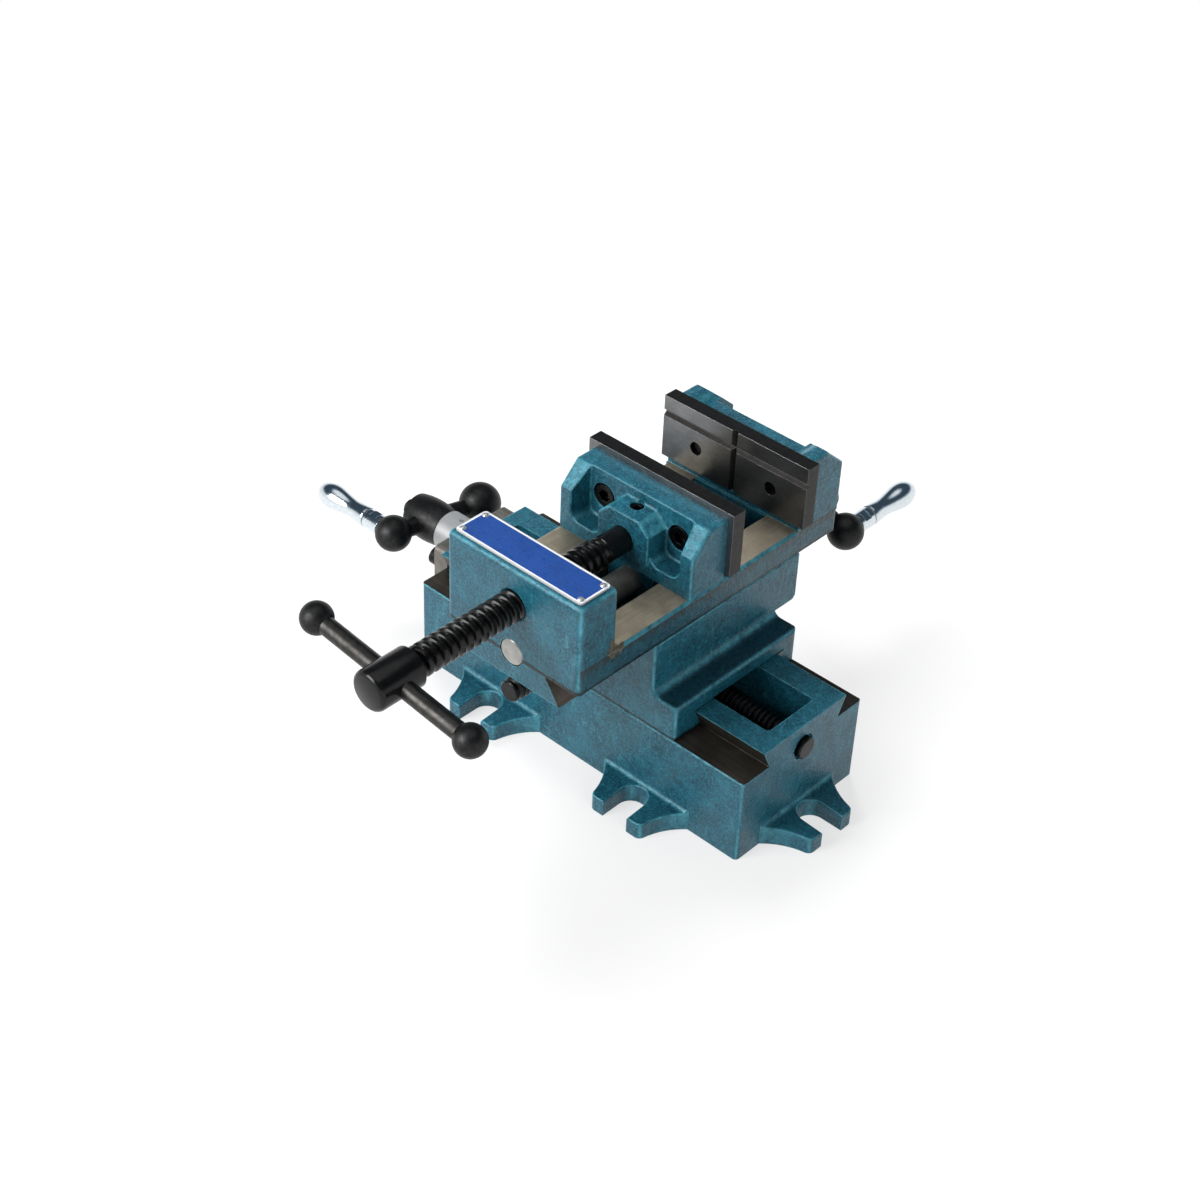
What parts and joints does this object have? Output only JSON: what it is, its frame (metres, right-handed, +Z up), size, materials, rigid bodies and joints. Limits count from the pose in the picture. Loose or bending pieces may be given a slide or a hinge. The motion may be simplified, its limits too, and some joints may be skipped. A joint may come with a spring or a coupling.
{
  "type": "cross slide vise",
  "caption": "Drill press vise on two crossed dovetail slides, each moved by a lead screw with a balanced crank and dial collar; the jaw closes by a tee-handled screw.",
  "frame": {"origin": "centre of the base casting's flat underside, midway between its ends and its sides", "axes": "+X along the base, away from the crank of the long slide; +Y from the tee handle towards the fixed jaw; +Z up"},
  "size_m": [0.2816, 0.3066, 0.1246],
  "materials": {
    "teal_enamel": "gloss hammered enamel on cast iron; machined ways left bare",
    "machined_iron": "milled, bare",
    "bronze": "machined",
    "ground_steel": "hardened and ground",
    "black_oxide": "black oxide, lightly oiled",
    "bright_steel": "turned, bright",
    "satin_aluminium": "satin, engraved scale",
    "polished_chrome": "polished chrome plate",
    "blue_plate": "printed blue plate with a light border"
  },
  "bodies": {
    "base": {"base": "teal_enamel", "x_bearing_plate": "machined_iron", "x_bearing_screws": "black_oxide"},
    "saddle": {"saddle": "teal_enamel", "x_gib": "machined_iron", "x_gib_screws": "black_oxide", "x_gib_nuts": "black_oxide", "y_gib": "machined_iron", "y_gib_screws": "black_oxide", "y_gib_nuts": "black_oxide", "x_nut": "bronze", "x_nut_screws": "black_oxide", "y_nut": "bronze", "y_nut_screws": "black_oxide"},
    "vise_body": {"vise_body": "teal_enamel", "guide_rod": "ground_steel", "fixed_jaw_plate": "ground_steel", "fixed_jaw_screws": "black_oxide", "name_plate": "blue_plate", "drive_screws": "bright_steel", "y_bearing_plate": "machined_iron", "y_bearing_screws": "black_oxide"},
    "jaw": {"movable_jaw": "teal_enamel", "movable_jaw_plate": "ground_steel", "movable_jaw_screws": "black_oxide", "neck_set_screw": "black_oxide"},
    "clamp_screw": {"main_screw": "black_oxide"},
    "tee_handle": {"tommy_bar": "black_oxide", "tommy_ball_left": "black_oxide", "tommy_ball_right": "black_oxide"},
    "x_screw": {"x_lead_screw": "black_oxide", "x_dial_collar": "satin_aluminium", "x_crank": "black_oxide", "x_crank_nut": "black_oxide", "x_grip_pin": "bright_steel"},
    "x_handle": {"x_grip": "polished_chrome"},
    "y_screw": {"y_lead_screw": "black_oxide", "y_dial_collar": "satin_aluminium", "y_crank": "black_oxide", "y_crank_nut": "black_oxide", "y_grip_pin": "bright_steel"},
    "y_handle": {"y_grip": "polished_chrome"}
  },
  "joints": [
    {"name": "x_slide", "type": "slide", "parent": "base", "child": "saddle", "axis": [1, 0, 0], "range_m": [-0.0482, 0.0352]},
    {"name": "y_slide", "type": "slide", "parent": "saddle", "child": "vise_body", "axis": [0, 1, 0], "range_m": [-0.023, 0.043]},
    {"name": "jaw_slide", "type": "slide", "parent": "vise_body", "child": "jaw", "axis": [0, 1, 0], "range_m": [-0.0375, 0.0386]},
    {"name": "clamp_screw_spin", "type": "hinge", "parent": "jaw", "child": "clamp_screw", "pos_m": [0.0065, -0.1411, 0.105], "axis": [0, 1, 0], "range_deg": [-3376, 3475]},
    {"name": "tommy_bar_slide", "type": "slide", "parent": "clamp_screw", "child": "tee_handle", "axis": [0.9936, 0, -0.1132], "range_m": [-0.025, 0.025]},
    {"name": "x_screw_spin", "type": "hinge", "parent": "base", "child": "x_screw", "pos_m": [-0.09, 0, 0.0374], "axis": [1, 0, 0], "range_deg": [-5069.8, 6941.8]},
    {"name": "x_grip_spin", "type": "hinge", "parent": "x_screw", "child": "x_handle", "pos_m": [-0.14568, -0.02045, 0.03883], "axis": [1, 0, 0], "continuous": true},
    {"name": "y_screw_spin", "type": "hinge", "parent": "vise_body", "child": "y_screw", "pos_m": [0.0065, 0.0742, 0.0632], "axis": [0, 1, 0], "range_deg": [-3313, 6193]},
    {"name": "y_grip_spin", "type": "hinge", "parent": "y_screw", "child": "y_handle", "pos_m": [0.02523, 0.12608, 0.05486], "axis": [0, 1, 0], "continuous": true}
  ],
  "couplings": [
    {"joint": "clamp_screw_spin", "follows": "jaw_slide", "rad_per_m": 1570.8},
    {"joint": "x_screw_spin", "follows": "x_slide", "rad_per_m": -2513.3},
    {"joint": "y_screw_spin", "follows": "y_slide", "rad_per_m": 2513.3}
  ]
}
